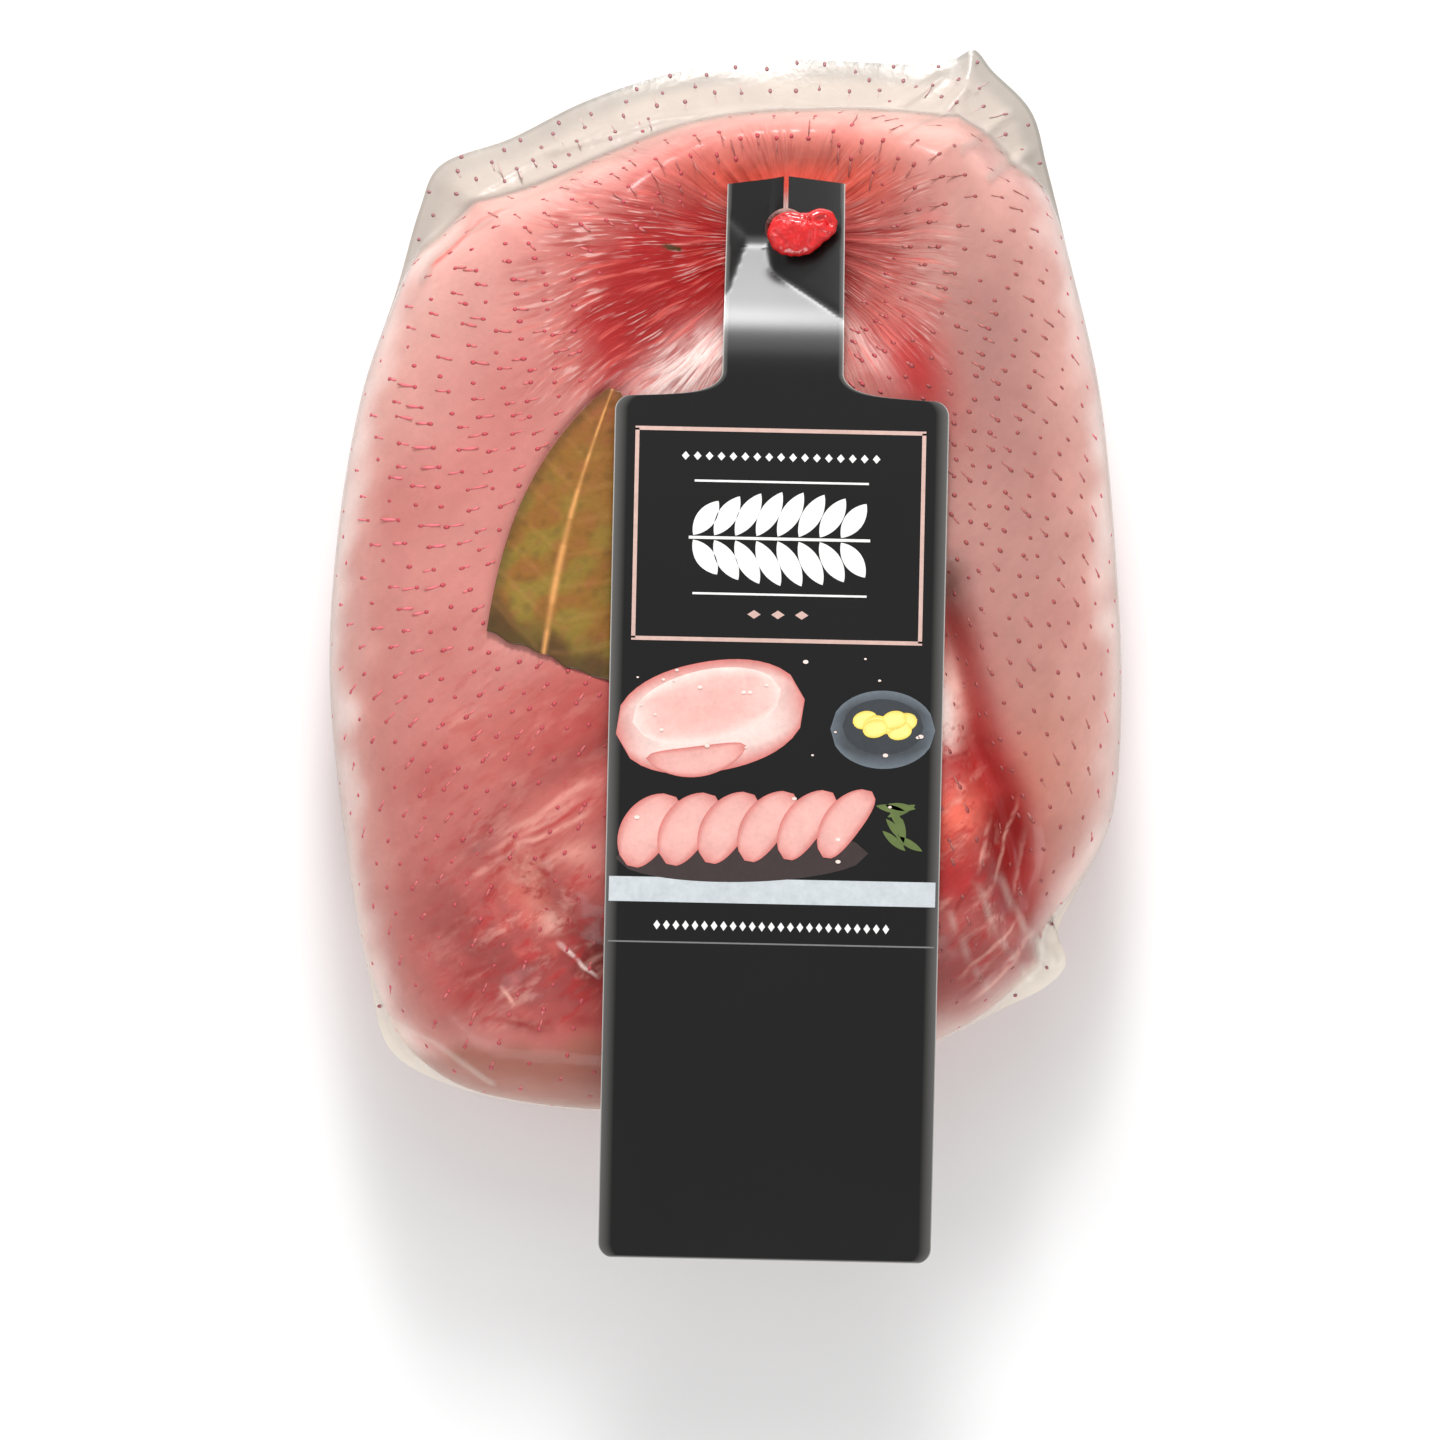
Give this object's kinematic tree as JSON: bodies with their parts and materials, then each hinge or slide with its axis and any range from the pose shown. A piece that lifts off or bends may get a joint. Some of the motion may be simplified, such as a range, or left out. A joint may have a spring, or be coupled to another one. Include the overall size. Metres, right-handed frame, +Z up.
{
  "type": "corned beef tongue",
  "caption": "Curled cured beef tongue packed in a clear pricked casing, gathered and clipped near the top, with a bay leaf under the film and a long card swing tag.",
  "frame": {"origin": "middle of the outline seen from above, on the flat underside that the pack lies on", "axes": "+Y towards the pack's top end where the bag is gathered, +Z up towards the side with the tag, +X to the right when looking at the tag"},
  "size_m": [0.1717, 0.2596, 0.0589],
  "materials": {
    "film": "clear shrunk film over pink cured meat, glossy",
    "leaf": "dried brown-green leaf",
    "card": null,
    "clip_red": "glossy red lacquer"
  },
  "bodies": {
    "root": {"bag": "film", "bay_leaf": "leaf", "tag": "card", "clip": "clip_red"}
  },
  "joints": []
}
